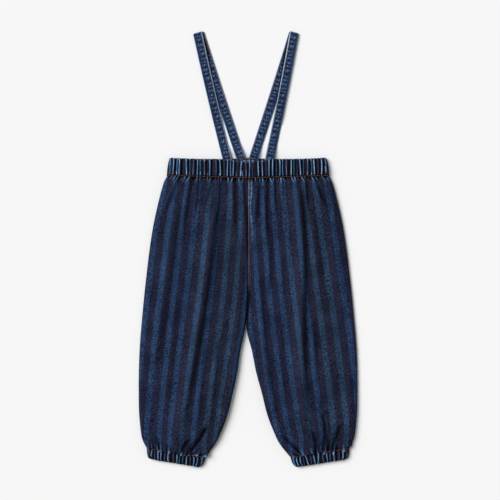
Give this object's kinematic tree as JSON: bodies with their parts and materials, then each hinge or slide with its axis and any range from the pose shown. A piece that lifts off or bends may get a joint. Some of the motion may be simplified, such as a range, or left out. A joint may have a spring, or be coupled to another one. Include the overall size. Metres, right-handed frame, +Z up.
{
  "type": "toddler's strap trousers (bibless dungarees), laid flat",
  "caption": "Striped denim pull-on trousers for a toddler, with two narrow shoulder straps, a gathered elastic waist, full legs and gathered cuffs, laid flat with the front up.",
  "frame": {"origin": "on the surface the garment lies on, under the middle of the whole with its straps", "axes": "+X towards the wearer's left, +Y up the garment from the cuffs to the straps, +Z up from the surface, out of the front of the garment"},
  "size_m": [0.2974, 0.5932, 0.0106],
  "materials": {
    "panel_denim": "matt twill, dark navy with mid-blue stripes that run down the legs, 17 mm apart",
    "casing_denim": "matt gathered twill in the same stripe, worn pale blue on the crests",
    "strap_denim": "matt mid-blue twill, worn pale along its stitched edges",
    "topstitch_thread": "copper-brown sewing thread, slight sheen"
  },
  "bodies": {
    "root": {"leg_front_right": "panel_denim", "leg_front_left": "panel_denim", "leg_back_right": "panel_denim", "leg_back_left": "panel_denim", "waistband_front": "casing_denim", "waistband_back": "casing_denim", "cuff_front_right": "casing_denim", "cuff_front_left": "casing_denim", "cuff_back_right": "casing_denim", "cuff_back_left": "casing_denim", "strap_right": "strap_denim", "strap_left": "strap_denim"}
  },
  "joints": []
}
